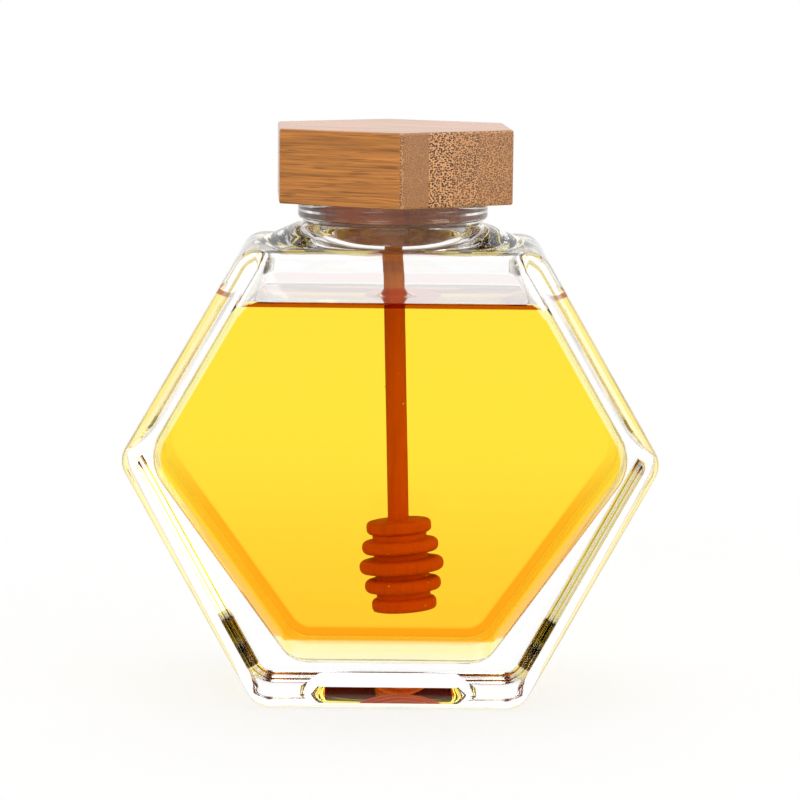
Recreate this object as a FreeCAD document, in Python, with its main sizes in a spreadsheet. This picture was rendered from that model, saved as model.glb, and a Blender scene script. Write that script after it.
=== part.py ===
import FreeCAD, Part
import os
import Sketcher

# A squat hexagonal honey jar: a thick glass body standing on one flat side, a short round
# neck, honey up to its level, a hexagonal bamboo lid whose turned plug carries a clear seal
# ring, and a wooden dipper that hangs from the plug into the honey.
#
# Frame: millimetres, +Z up, the origin under the middle of the jar on the surface that it
# stands on. The flat front faces -Y, and the side corners of the hexagon point along X.

# Driving dimensions: alias, value, what it sets.
SIZES = [
    ("half_width", 60.0, "middle of the body to the sharp side corner"),
    ("corner_height", 55.3, "height of the side corners above the base"),
    ("body_height", 102.0, "base to the flat top of the body"),
    ("base_half_length", 29.7, "middle of the base to its sharp end"),
    ("top_half_length", 33.0, "middle of the flat top to its sharp end"),
    ("body_depth", 55.0, "front face to back face"),
    ("corner_round", 5.7, "radius of the six edges that run front to back"),
    ("rim_round", 4.0, "radius of the edges round the front and back faces"),
    ("face_wall", 5.0, "glass behind the front face and before the back face"),
    ("flank_wall", 5.1, "glass of the two upper flanks"),
    ("top_wall", 2.0, "glass of the flat top"),
    ("floor_wall", 10.0, "glass under the honey"),
    ("inner_floor_half", 21.5, "middle of the cavity's floor to its sharp end"),
    ("inner_corner_round", 10.0, "radius of the cavity's side corners"),
    ("inner_floor_round", 7.0, "radius where the inner flanks meet the floor"),
    ("inner_top_round", 6.0, "radius where the inner flanks meet the top"),
    ("inner_rim_round", 3.0, "radius round the cavity's front and back"),
    ("hip_end_gap", 2.0, "sharp end of the flat top to the end of the neck's hip"),
    ("hip_side_gap", 0.1, "rounding of the body's rim to the side of the hip"),
    ("hip_top_radius", 20.9, "radius of the hip's upper end"),
    ("hip_height", 4.6, "height of the hip above the flat top"),
    ("neck_radius", 20.4, "outside of the neck under its bead"),
    ("neck_height", 9.6, "flat top of the body to the mouth's rim"),
    ("bead_radius", 21.4, "outside of the bead round the mouth"),
    ("bead_height", 4.2, "height of the bead"),
    ("bead_round", 1.6, "radius of the bead's outer edges"),
    ("bore_radius", 16.8, "inside of the neck"),
    ("bore_bevel", 2.5, "bevel where the bore opens into the cavity"),
    ("mouth_bevel", 0.8, "bevel of the mouth's inner edge"),
    ("punt_length", 40.0, "length of the recess under the base"),
    ("punt_width", 30.0, "width of the recess under the base"),
    ("punt_depth", 3.0, "depth of the recess under the base"),
    ("punt_draft", 53.0, "lean of the recess's walls, degrees from upright"),
    ("punt_round", 6.0, "radius of the recess's corners"),
    ("honey_level", 90.0, "height of the honey's surface above the base"),
    ("lid_across_flats", 51.6, "hexagonal block across its flats"),
    ("lid_height", 16.5, "height of the block above the rim"),
    ("lid_turn", 2.7, "turn of the lid about the neck, degrees"),
    ("lid_edge_break", 0.5, "radius of the block's edges"),
    ("plug_clearance", 0.3, "gap between the plug and the bore"),
    ("plug_length", 10.3, "depth of the plug under the block"),
    ("plug_edge_break", 0.6, "radius of the plug's lower edge"),
    ("seal_drop", 1.0, "rim down to the top of the seal"),
    ("seal_height", 3.2, "height of the seal"),
    ("seal_depth", 1.2, "depth of the seal's groove in the plug"),
    ("seal_rib", 0.8, "height of each of the seal's two ribs"),
    ("stick_radius", 2.35, "radius of the dipper's stick"),
    ("socket_depth", 7.7, "stick above the plug's lower face"),
    ("stick_length", 69.0, "top of the stick to the top of the head"),
    ("stick_lean", 1.6, "lean of the stick towards +X, degrees"),
    ("head_lean", 4.6, "lean of the head towards +X, degrees"),
    ("core_radius", 6.1, "core of the head between its discs"),
    ("disc_pitch", 4.44, "middle of one disc to the middle of the next"),
    ("disc_height", 3.0, "height of each disc"),
    ("disc_round", 1.3, "radius of each disc's edges, where the disc has room for it"),
    ("disc_reach_1", 1.2, "top disc, how far it stands out of the core"),
    ("disc_reach_2", 2.4, "second disc"),
    ("disc_reach_3", 3.4, "middle disc"),
    ("disc_reach_4", 2.55, "fourth disc"),
    ("disc_reach_5", 1.2, "bottom disc"),
]
DISC_COUNT = 5

# Places worked out from the driving dimensions.
FLANK_RISE = "(Sizes.body_height - Sizes.corner_height)"
FLANK_RUN = "(Sizes.half_width - Sizes.top_half_length)"
FLANK_SLOPE = f"atan({FLANK_RISE} / {FLANK_RUN})"
CEILING = "(Sizes.body_height - Sizes.top_wall)"
INNER_HALF = f"(Sizes.half_width - Sizes.flank_wall / sin({FLANK_SLOPE}))"
INNER_TOP_HALF = (
    f"({INNER_HALF} - ({CEILING} - Sizes.corner_height) * {FLANK_RUN} / {FLANK_RISE})"
)
INNER_DEPTH = "(Sizes.body_depth - 2 * Sizes.face_wall)"
RIM = "(Sizes.body_height + Sizes.neck_height)"
BEAD_FOOT = f"({RIM} - Sizes.bead_height)"
PLUG_RADIUS = "(Sizes.bore_radius - Sizes.plug_clearance)"
PLUG_FOOT = f"({RIM} - Sizes.plug_length)"
SEAL_TOP = f"({RIM} - Sizes.seal_drop)"
SEAL_FOOT = f"({SEAL_TOP} - Sizes.seal_height)"
GROOVE_RADIUS = f"({PLUG_RADIUS} - Sizes.seal_depth)"
STICK_TOP = f"({PLUG_FOOT} + Sizes.socket_depth)"
# The dipper leans about this axis, so that its lower end goes towards +X.
TOWARDS_X = FreeCAD.Vector(0, -1, 0)
# Degrees about Z at which the lid's corners lie, before its turn.
LID_CORNER_ANGLES = range(30, 390, 60)
# Heights of the seal's two ribs, as shares of the seal's height.
RIB_PLACES = (0.25, 0.75)
# How far a cutting form runs past the face that it opens.
OVERSHOOT = 1
# The most of an overhang that the rounding of its edge may take.
ROUND_SHARE = 0.9
# Slack for telling one edge of a solid from another.
NEAR = 0.01

doc = FreeCAD.newDocument("HoneyJar")
sheet = doc.addObject("Spreadsheet::Sheet", "Sizes")


def fill_sheet():
    """Write every driving dimension to the sheet, with its alias and its note."""
    for row, (alias, value, note) in enumerate(SIZES, start=1):
        sheet.set(f"A{row}", alias)
        sheet.set(f"B{row}", str(value))
        sheet.set(f"C{row}", note)
        sheet.setAlias(f"B{row}", alias)
    doc.recompute()


def number(expression):
    """The present value of an expression on the sheet's cells."""
    value = sheet.evalExpression(expression)
    return float(getattr(value, "Value", value))


def new_sketch(body, name, role):
    """A sketch on one of the body's own origin planes."""
    sketch = body.newObject("Sketcher::SketchObject", name)
    plane = next(f for f in body.Origin.OriginFeatures if f.Role == role)
    sketch.AttachmentSupport = [(plane, "")]
    sketch.MapMode = "FlatFace"
    return sketch


def tie(sketch, kind, index, expression):
    """Hold the start of line number index at a distance from the sketch's origin."""
    rule = Sketcher.Constraint(kind, -1, 1, index, 1, number(expression))
    place = sketch.addConstraint(rule)
    sketch.setExpression(f"Constraints[{place}]", expression)


def draw_outline(sketch, corners):
    """A closed outline of straight lines, each corner tied to the sheet."""
    points = [FreeCAD.Vector(number(across), number(up), 0) for across, up in corners]
    count = len(points)
    for index in range(count):
        line = Part.LineSegment(points[index], points[(index + 1) % count])
        sketch.addGeometry(line, False)
    for index in range(count):
        follower = (index + 1) % count
        sketch.addConstraint(Sketcher.Constraint("Coincident", index, 2, follower, 1))
    for index, (across, up) in enumerate(corners):
        tie(sketch, "DistanceX", index, across)
        tie(sketch, "DistanceY", index, up)


def mirrored(right_side):
    """An outline that is the same on both sides, from its right half, bottom to top."""
    left_side = [(f"-{across}", up) for across, up in reversed(right_side)]
    return right_side + left_side


def slab(body, name, corners, depth):
    """A plate of the given front outline, as deep in front of the middle as behind it."""
    sketch = new_sketch(body, f"{name}_outline", "XZ_Plane")
    draw_outline(sketch, corners)
    pad = body.newObject("PartDesign::Pad", f"{name}_slab")
    pad.Profile = sketch
    pad.SideType = "Symmetric"
    pad.setExpression("Length", depth)
    doc.recompute()


def turned(body, name, corners):
    """A piece turned about Z from half its outline."""
    sketch = new_sketch(body, f"{name}_outline", "XZ_Plane")
    draw_outline(sketch, corners)
    turn = body.newObject("PartDesign::Revolution", name)
    turn.Profile = sketch
    turn.ReferenceAxis = (sketch, ["V_Axis"])
    turn.Angle = 360
    doc.recompute()


def rounded(body, name, radius, wanted):
    """Round the edges of the body's last feature that the wanted test picks."""
    last = body.Tip
    picked = [
        f"Edge{index}"
        for index, edge in enumerate(last.Shape.Edges, start=1)
        if wanted(edge)
    ]
    fillet = body.newObject("PartDesign::Fillet", name)
    fillet.Base = (last, picked)
    fillet.setExpression("Radius", radius)
    doc.recompute()


def runs_front_to_back(edge):
    """A straight edge along Y."""
    box = edge.BoundBox
    return box.XLength < NEAR and box.ZLength < NEAR


def crosses_at(edge, height):
    """A straight edge along Y at the given height."""
    return runs_front_to_back(edge) and abs(edge.BoundBox.ZMin - height) < NEAR


def lies_at_depth(edge, depth):
    """An edge in the plane of the front or the back face."""
    box = edge.BoundBox
    return box.YLength < NEAR and abs(abs(box.YMin) - depth / 2) < NEAR


def climbs_to(edge, height):
    """An edge that runs from the base up to the given height and no further."""
    box = edge.BoundBox
    return abs(box.ZMin) < NEAR and abs(box.ZMax - height) < NEAR


def is_ring(edge, radius, height):
    """A level circle about Z."""
    box = edge.BoundBox
    is_level = box.ZLength < NEAR and abs(box.ZMin - height) < NEAR
    return is_level and abs(box.XMax - radius) < NEAR and abs(box.XMin + radius) < NEAR


def body_shell():
    """The outside of the jar's body, with the recess under its base."""
    body = doc.addObject("PartDesign::Body", "body_shell")
    corners = mirrored([
        ("Sizes.base_half_length", "0"),
        ("Sizes.half_width", "Sizes.corner_height"),
        ("Sizes.top_half_length", "Sizes.body_height"),
    ])
    slab(body, "body", corners, "Sizes.body_depth")
    rounded(body, "body_corners", "Sizes.corner_round", runs_front_to_back)
    depth = number("Sizes.body_depth")
    rounded(body, "body_rims", "Sizes.rim_round", lambda edge: lies_at_depth(edge, depth))
    sketch = new_sketch(body, "punt_outline", "XY_Plane")
    length = "Sizes.punt_length / 2"
    width = "Sizes.punt_width / 2"
    draw_outline(sketch, [
        (f"-({length})", f"-({width})"),
        (f"{length}", f"-({width})"),
        (f"{length}", f"{width}"),
        (f"-({length})", f"{width}"),
    ])
    punt = body.newObject("PartDesign::Pocket", "punt")
    punt.Profile = sketch
    punt.Reversed = True
    punt.setExpression("Length", "Sizes.punt_depth")
    punt.setExpression("TaperAngle", "-Sizes.punt_draft")
    doc.recompute()
    ceiling = number("Sizes.punt_depth")
    rounded(body, "punt_corners", "Sizes.punt_round", lambda edge: climbs_to(edge, ceiling))
    return body


def neck_hip():
    """The sloping hip that leads from the flat top up to the round neck."""
    foot = doc.addObject("Part::Ellipse", "hip_foot")
    half_depth = "Sizes.body_depth / 2 - Sizes.rim_round - Sizes.hip_side_gap"
    foot.setExpression("MajorRadius", "Sizes.top_half_length - Sizes.hip_end_gap")
    foot.setExpression("MinorRadius", half_depth)
    foot.setExpression("Placement.Base.z", "Sizes.body_height")
    head = doc.addObject("Part::Ellipse", "hip_head")
    head.setExpression("MajorRadius", "Sizes.hip_top_radius")
    head.setExpression("MinorRadius", "Sizes.hip_top_radius")
    head.setExpression("Placement.Base.z", "Sizes.body_height + Sizes.hip_height")
    hip = doc.addObject("Part::Loft", "hip")
    hip.Sections = [foot, head]
    hip.Solid = True
    hip.Ruled = True
    return hip


def neck_shell():
    """The outside of the neck and its bead, run down into the body's top."""
    body = doc.addObject("PartDesign::Body", "neck_shell")
    turned(body, "neck", [
        ("0", CEILING),
        ("Sizes.neck_radius", CEILING),
        ("Sizes.neck_radius", BEAD_FOOT),
        ("Sizes.bead_radius", BEAD_FOOT),
        ("Sizes.bead_radius", RIM),
        ("0", RIM),
    ])
    radius = number("Sizes.bead_radius")
    rim = number(RIM)
    foot = number(BEAD_FOOT)
    rounded(body, "bead_top", "Sizes.bead_round", lambda edge: is_ring(edge, radius, rim))
    overhang = "(Sizes.bead_radius - Sizes.neck_radius)"
    room = f"min(Sizes.bead_round; {ROUND_SHARE} * {overhang})"
    rounded(body, "bead_bottom", room, lambda edge: is_ring(edge, radius, foot))
    return body


def cavity_form():
    """The space inside the body, under the bore."""
    body = doc.addObject("PartDesign::Body", "cavity_form")
    corners = mirrored([
        ("Sizes.inner_floor_half", "Sizes.floor_wall"),
        (INNER_HALF, "Sizes.corner_height"),
        (INNER_TOP_HALF, CEILING),
    ])
    slab(body, "cavity", corners, INNER_DEPTH)
    bands = [
        ("cavity_floor_edges", "Sizes.inner_floor_round", number("Sizes.floor_wall")),
        ("cavity_side_edges", "Sizes.inner_corner_round", number("Sizes.corner_height")),
        ("cavity_top_edges", "Sizes.inner_top_round", number(CEILING)),
    ]
    for name, radius, height in bands:
        rounded(body, name, radius, lambda edge, at=height: crosses_at(edge, at))
    depth = number(INNER_DEPTH)
    rounded(
        body, "cavity_rims", "Sizes.inner_rim_round", lambda edge: lies_at_depth(edge, depth)
    )
    mouth_radius = "(Sizes.bore_radius + Sizes.mouth_bevel)"
    turned(body, "bore", [
        ("0", CEILING),
        ("Sizes.bore_radius + Sizes.bore_bevel", CEILING),
        ("Sizes.bore_radius", f"{CEILING} + Sizes.bore_bevel"),
        ("Sizes.bore_radius", f"{RIM} - Sizes.mouth_bevel"),
        (mouth_radius, RIM),
        (mouth_radius, f"{RIM} + {OVERSHOOT}"),
        ("0", f"{RIM} + {OVERSHOOT}"),
    ])
    return body


def dipper():
    """The wooden dipper: a leaning stick and, in line under it, the head of discs."""
    stick = doc.addObject("PartDesign::Body", "stick")
    reach = "(Sizes.stick_length + Sizes.disc_height)"
    turned(stick, "stick_rod", [
        ("0", f"-{reach}"),
        ("Sizes.stick_radius", f"-{reach}"),
        ("Sizes.stick_radius", "0"),
        ("0", "0"),
    ])
    stick.Placement.Rotation = FreeCAD.Rotation(TOWARDS_X, number("Sizes.stick_lean"))
    stick.setExpression("Placement.Rotation.Angle", "Sizes.stick_lean * 1deg")
    stick.setExpression("Placement.Base.z", STICK_TOP)

    head = doc.addObject("PartDesign::Body", "head")
    outline = [("0", "0")]
    for disc in range(DISC_COUNT):
        radius = f"(Sizes.core_radius + Sizes.disc_reach_{disc + 1})"
        top = f"-{disc} * Sizes.disc_pitch"
        foot = f"{top} - Sizes.disc_height"
        outline += [(radius, top), (radius, foot)]
        if disc < DISC_COUNT - 1:
            next_top = f"-{disc + 1} * Sizes.disc_pitch"
            outline += [("Sizes.core_radius", foot), ("Sizes.core_radius", next_top)]
        else:
            outline.append(("0", foot))
    turned(head, "head_discs", outline)
    for disc in range(DISC_COUNT):
        reach = f"Sizes.disc_reach_{disc + 1}"
        room = f"min(Sizes.disc_round; {ROUND_SHARE} * {reach})"
        rim = number(f"Sizes.core_radius + {reach}")
        top = number(f"-{disc} * Sizes.disc_pitch")
        foot = number(f"-{disc} * Sizes.disc_pitch - Sizes.disc_height")
        both = [(rim, top), (rim, foot)]
        rounded(
            head,
            f"disc_{disc + 1}_edges",
            room,
            lambda edge, rings=both: any(is_ring(edge, *ring) for ring in rings),
        )
    head.Placement.Rotation = FreeCAD.Rotation(TOWARDS_X, number("Sizes.head_lean"))
    head.setExpression("Placement.Rotation.Angle", "Sizes.head_lean * 1deg")
    lean = "Sizes.stick_lean * 1deg"
    head.setExpression("Placement.Base.x", f"Sizes.stick_length * sin({lean})")
    head.setExpression("Placement.Base.z", f"{STICK_TOP} - Sizes.stick_length * cos({lean})")

    whole = doc.addObject("Part::Fuse", "dipper")
    whole.Base = stick
    whole.Tool = head
    return whole


def jar_glass(cavity):
    """The glass: shell, hip and neck as one, hollowed by the cavity."""
    outside = doc.addObject("Part::MultiFuse", "jar_outside")
    outside.Shapes = [body_shell(), neck_hip(), neck_shell()]
    glass = doc.addObject("Part::Cut", "jar_glass")
    glass.Base = outside
    glass.Tool = cavity
    return glass


def honey(cavity, stirrer):
    """The honey: the cavity up to the honey's level, less the dipper in it."""
    block = doc.addObject("Part::Box", "below_level")
    block.setExpression("Length", "2 * Sizes.half_width")
    block.setExpression("Width", "Sizes.body_depth")
    block.setExpression("Height", "Sizes.honey_level")
    block.setExpression("Placement.Base.x", "-Sizes.half_width")
    block.setExpression("Placement.Base.y", "-Sizes.body_depth / 2")
    filled = doc.addObject("Part::Common", "filled_cavity")
    filled.Base = cavity
    filled.Tool = block
    food = doc.addObject("Part::Cut", "honey")
    food.Base = filled
    food.Tool = stirrer
    return food


def bamboo_lid(stirrer):
    """The hexagonal block with its turned plug, grooved for the seal, socketed for the stick."""
    body = doc.addObject("PartDesign::Body", "lid_form")
    sketch = new_sketch(body, "block_outline", "XY_Plane")
    sketch.setExpression("AttachmentOffset.Base.z", RIM)
    reach = "Sizes.lid_across_flats / 2 / cos(30deg)"
    draw_outline(
        sketch,
        [(f"{reach} * cos({a}deg)", f"{reach} * sin({a}deg)") for a in LID_CORNER_ANGLES],
    )
    pad = body.newObject("PartDesign::Pad", "block")
    pad.Profile = sketch
    pad.setExpression("Length", "Sizes.lid_height")
    doc.recompute()
    rounded(body, "block_edges", "Sizes.lid_edge_break", lambda edge: True)
    inside_block = f"{RIM} + Sizes.lid_height / 2"
    turned(body, "plug", [
        ("0", PLUG_FOOT),
        (PLUG_RADIUS, PLUG_FOOT),
        (PLUG_RADIUS, SEAL_FOOT),
        (GROOVE_RADIUS, SEAL_FOOT),
        (GROOVE_RADIUS, SEAL_TOP),
        (PLUG_RADIUS, SEAL_TOP),
        (PLUG_RADIUS, inside_block),
        ("0", inside_block),
    ])
    plug_radius = number(PLUG_RADIUS)
    foot = number(PLUG_FOOT)
    rounded(
        body, "plug_edge", "Sizes.plug_edge_break", lambda edge: is_ring(edge, plug_radius, foot)
    )
    body.Placement.Rotation = FreeCAD.Rotation(FreeCAD.Vector(0, 0, 1), number("Sizes.lid_turn"))
    body.setExpression("Placement.Rotation.Angle", "Sizes.lid_turn * 1deg")
    lid = doc.addObject("Part::Cut", "bamboo_lid")
    lid.Base = body
    lid.Tool = stirrer
    return lid


def seal_ring():
    """The clear ring in the plug's groove, with two ribs that press on the bore."""
    body = doc.addObject("PartDesign::Body", "seal_ring")
    outline = [(GROOVE_RADIUS, SEAL_FOOT), (PLUG_RADIUS, SEAL_FOOT)]
    for share in RIB_PLACES:
        middle = f"{SEAL_FOOT} + {share} * Sizes.seal_height"
        outline += [
            (PLUG_RADIUS, f"{middle} - Sizes.seal_rib / 2"),
            ("Sizes.bore_radius", f"{middle} - Sizes.seal_rib / 4"),
            ("Sizes.bore_radius", f"{middle} + Sizes.seal_rib / 4"),
            (PLUG_RADIUS, f"{middle} + Sizes.seal_rib / 2"),
        ]
    outline += [(PLUG_RADIUS, SEAL_TOP), (GROOVE_RADIUS, SEAL_TOP)]
    turned(body, "ring", outline)
    return body


def check_document(pieces):
    """Stop if any object failed, or if a sub-part isn't one good solid."""
    for item in doc.Objects:
        if "Invalid" in item.State or "Error" in item.State:
            raise RuntimeError(f"{item.Name} failed: {item.State}")
    for piece in pieces:
        shape = piece.Shape
        if shape.isNull() or not shape.isValid() or len(shape.Solids) != 1:
            raise RuntimeError(f"{piece.Label} isn't one valid solid")


fill_sheet()
cavity_space = cavity_form()
honey_dipper = dipper()
sub_parts = [
    jar_glass(cavity_space),
    honey(cavity_space, honey_dipper),
    bamboo_lid(honey_dipper),
    seal_ring(),
    honey_dipper,
]
doc.recompute()
check_document(sub_parts)
os.makedirs("parts", exist_ok=True)
for sub_part in sub_parts:
    sub_part.Shape.exportStep(f"parts/{sub_part.Label}.step")
    print(f"{sub_part.Label}: {sub_part.Shape.Volume / 1000:.1f} cubic centimetres")
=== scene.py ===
import math

import bmesh
import bpy
from mathutils import Matrix, Vector, noise


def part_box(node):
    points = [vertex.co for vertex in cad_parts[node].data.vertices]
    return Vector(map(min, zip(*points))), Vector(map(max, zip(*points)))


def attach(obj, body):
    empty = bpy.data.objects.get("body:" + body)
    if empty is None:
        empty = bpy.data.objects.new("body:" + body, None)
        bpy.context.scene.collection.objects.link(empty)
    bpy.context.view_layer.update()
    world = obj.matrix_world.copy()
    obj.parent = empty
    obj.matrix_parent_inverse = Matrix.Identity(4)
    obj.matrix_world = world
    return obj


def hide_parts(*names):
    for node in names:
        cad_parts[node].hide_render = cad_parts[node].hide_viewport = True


bl_info = {
    "name": "Hexagonal honey jar",
    "version": (1, 0, 0),
    "blender": (4, 5, 0),
    "location": "3D View > Sidebar > Honey jar",
    "description": "Glass, honey, bamboo and wood for a hexagonal honey jar with a dipper",
    "category": "Object",
}

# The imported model: metres, +Z up, the jar standing on z = 0, its flat front facing -Y.
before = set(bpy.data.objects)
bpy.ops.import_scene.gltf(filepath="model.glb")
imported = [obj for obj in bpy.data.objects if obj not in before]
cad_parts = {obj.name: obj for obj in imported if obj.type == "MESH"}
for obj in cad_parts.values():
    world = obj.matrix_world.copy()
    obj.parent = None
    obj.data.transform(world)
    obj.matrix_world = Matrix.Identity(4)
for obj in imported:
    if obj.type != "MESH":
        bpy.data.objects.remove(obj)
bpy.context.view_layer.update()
GLASS_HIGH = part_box("jar_glass")[1]
HONEY_LOW, HONEY_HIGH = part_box("honey")
LID_LOW, LID_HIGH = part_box("bamboo_lid")
SEAL_LOW, SEAL_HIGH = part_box("seal_ring")
DIPPER_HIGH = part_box("dipper")[1]

MM = 0.001
# The dipper's skin under the honey, in square metres, over which the bubbles are spread.
BUBBLE_SKIN = 0.0032
# How far under the level the bubbles begin.
BUBBLE_DEPTH = 2.5 * MM
# Keeps two faces that touch from lying in one plane.
SKIN_GAP = 0.02 * MM
# How far a filling reaches into the glass around it.
OVERLAP = 0.15 * MM
# How far a form that cuts or joins reaches past the surface where it stops.
CUT_PAST = 1 * MM
# Steps round the neck and its bore, and round the plug and its seal.
NECK_STEPS = 192
PLUG_STEPS = 160
# From a hexagon's corner to the middle of the next side.
HALF_SIDE_TURN = math.radians(30)
WHITE = (1.0, 1.0, 1.0)


# ---------------------------------------------------------------- settings


def length(name, description, millimetres):
    """A size that a user may change."""
    return bpy.props.FloatProperty(
        name=name, description=description, default=millimetres * MM, precision=5,
        unit="LENGTH", subtype="DISTANCE",
    )


def colour(name, description, red, green, blue):
    """A linear colour that a user may change."""
    return bpy.props.FloatVectorProperty(
        name=name, description=description, default=(red, green, blue), size=3,
        min=0.0, max=1.0, subtype="COLOR",
    )


def share(name, description, value):
    """A plain number that a user may change."""
    return bpy.props.FloatProperty(name=name, description=description, default=value)


def angle(name, description, degrees):
    """An angle that a user may change."""
    return bpy.props.FloatProperty(
        name=name, description=description, default=math.radians(degrees), subtype="ANGLE",
    )


def count(name, description, value):
    """A whole number that a user may change."""
    return bpy.props.IntProperty(name=name, description=description, default=value, min=1)


class GlassSettings(bpy.types.PropertyGroup):
    """Sizes of the glass, outside and inside."""

    half_width: length("Half width", "Middle to the sharp side corner", 60.0)
    corner_height: length("Corner height", "Base to the side corners", 55.3)
    body_height: length("Body height", "Base to the flat top", 102.0)
    base_half: length("Base half length", "Middle of the base to its sharp end", 29.7)
    top_half: length("Top half length", "Middle of the top to its sharp end", 33.0)
    corner_round: length("Corner round", "Radius of the six edges front to back", 5.7)
    rim_round: length("Rim round", "Radius round the front and back faces", 4.0)
    face_wall: length("Face wall", "Glass at the front and the back", 5.0)
    flank_wall: length("Flank wall", "Glass of the upper flanks", 5.1)
    top_wall: length("Top wall", "Glass of the flat top", 2.0)
    floor_wall: length("Floor wall", "Glass under the honey", 10.0)
    inner_floor_half: length("Inner floor half", "Middle of the floor to its sharp end", 21.5)
    inner_corner_round: length("Inner corner round", "Radius of the side corners", 10.0)
    inner_floor_round: length("Inner floor round", "Radius where flanks meet the floor", 7.0)
    inner_top_round: length("Inner top round", "Radius where flanks meet the top", 6.0)
    inner_rim_round: length("Inner rim round", "Radius round the inner faces", 3.0)
    ceiling_stray: length("Ceiling stray", "Unevenness of the inner ceiling", 0.5)
    hip_half_length: length("Hip half length", "Middle to the end of the neck's hip", 31.0)
    hip_half_width: length("Hip half width", "Middle to the side of the neck's hip", 23.4)
    hip_top_radius: length("Hip top radius", "Upper end of the hip", 20.9)
    hip_height: length("Hip height", "Rise of the hip over the flat top", 4.6)
    neck_radius: length("Neck radius", "Outside of the neck", 20.4)
    bead_radius: length("Bead radius", "Outside of the bead round the mouth", 21.4)
    bead_height: length("Bead height", "Height of the bead", 4.2)
    bead_top_round: length("Bead top round", "Radius of the bead's upper edge", 1.6)
    bead_foot_round: length("Bead foot round", "Radius of the bead's lower edge", 0.9)
    bore_radius: length("Bore radius", "Inside of the neck", 16.8)
    bore_flare: length("Bore flare", "Radius where the bore opens into the body", 2.5)
    mouth_bevel: length("Mouth bevel", "Bevel of the mouth's inner edge", 0.8)
    punt_length: length("Recess length", "Length of the recess under the base", 40.0)
    punt_width: length("Recess width", "Width of the recess under the base", 30.0)
    punt_depth: length("Recess depth", "Depth of the recess under the base", 3.0)
    punt_round: length("Recess round", "Radius of the recess's corners", 6.0)
    punt_draft: angle("Recess draft", "Lean of the recess's walls", 53.0)
    index: share("Refractive index", "How strongly the glass bends light", 1.5)
    # Painted shade: the grey of the thin lines along the rounded rims.
    painted_rim_shade_colour: colour("Line tint", "Thin lines along the rounded rims", 0.30, 0.28, 0.28)
    film_tint: colour("Film tint", "Thin film of honey over the level", 0.97, 0.83, 0.82)


class HoneySettings(bpy.types.PropertyGroup):
    """Shape and colour of the honey."""

    meniscus_rise: length("Meniscus rise", "How far the honey climbs the glass", 0.7)
    meniscus_reach: length("Meniscus reach", "How far the climb reaches inwards", 0.75)
    index: share("Refractive index", "How strongly the honey bends light", 1.49)
    depth_colour: colour("Depth colour", "What a thick layer lets through", 0.9995, 0.939, 0.165)
    density: share("Density", "How soon a layer takes that colour, per metre", 25.0)
    face_tint: colour("Face tint", "Tint of the front", 1.0, 0.69, 0.0165)
    # Painted shade: the front darker and redder towards the floor.
    painted_low_shade: colour("Low tint", "Tint of the front near the floor", 1.0, 0.58, 0.38)
    side_tint: colour("Side tint", "Tint of the sides", 1.0, 0.8, 0.3)
    # Painted shade along the honey's rounded edges.
    painted_honey_rim_shade: colour("Rim tint", "Tint of the rounded edges", 1.0, 0.42, 0.09)
    collar_tint: colour("Collar tint", "Tint of the honey on the stick", 1.0, 0.5, 0.25)
    collar_rise: length("Collar rise", "How far the honey climbs the stick", 1.8)
    # Painted shade: the dark line where the honey climbs the glass.
    painted_meniscus_shade: colour("Edge tint", "Tint of the line where the honey climbs", 0.25, 0.009, 0.0)
    bubble_count: count("Bubbles", "Small bubbles on the dipper", 40)
    bubble_radius: length("Bubble radius", "Largest bubble", 0.24)


class LidSettings(bpy.types.PropertyGroup):
    """Sizes and colours of the bamboo lid."""

    across_flats: length("Across flats", "Block across its flats", 51.6)
    turn: angle("Turn", "Turn about the neck", 2.7)
    edge_break: length("Edge break", "Radius of the block's edges", 0.5)
    plug_radius: length("Plug radius", "Outside of the plug", 16.5)
    groove_radius: length("Groove radius", "Bottom of the seal's groove", 15.3)
    strip: length("Strip", "Thickness of the glued strips", 5.6)
    first_strip: length("First strip", "Thickness of the strip at the front", 0.9)
    side_colour: colour("Side colour", "Along the fibres", 0.455, 0.17, 0.032)
    end_colour: colour("End colour", "Across the fibres", 0.41, 0.170, 0.046)
    pale_colour: colour("Pale colour", "Ground between coarse bundles", 0.72, 0.33, 0.11)
    # Painted shade: the plug inside the neck, under the lid, is darkened and warmed; darkest under
    # the seal.
    plug_painted_shade: colour("Plug tint", "The plug inside the seal", 1.0, 0.60, 0.42)
    plug_low_painted_shade: colour("Plug low tint", "The plug under the seal", 0.335, 0.23, 0.22)
    fibre_colour: colour("Fibre colour", "Coarse fibre bundles", 0.05, 0.012, 0.002)


class DipperSettings(bpy.types.PropertyGroup):
    """Sizes and colours of the dipper."""

    stick_radius: length("Stick radius", "Radius of the stick", 2.35)
    stick_length: length("Stick length", "Top of the stick to the head", 69.0)
    stick_lean: angle("Stick lean", "Lean of the stick towards +X", 1.6)
    head_lean: angle("Head lean", "Lean of the head towards +X", 4.6)
    core_radius: length("Core radius", "Core of the head", 6.1)
    disc_pitch: length("Disc pitch", "One disc to the next", 4.44)
    disc_height: length("Disc height", "Height of each disc", 3.0)
    disc_round: length("Disc round", "Radius of the discs' edges", 1.3)
    least_reach: length("Least reach", "How far the end discs stand out", 1.2)
    most_reach: length("Most reach", "How far the middle disc stands out", 3.4)
    disc_count: count("Discs", "Number of discs", 5)
    dry_colour: colour("Dry colour", "Wood over the honey", 0.58, 0.165, 0.03)
    wet_colour: colour("Wet colour", "Wood soaked in honey", 0.61, 0.098, 0.006)


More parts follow.
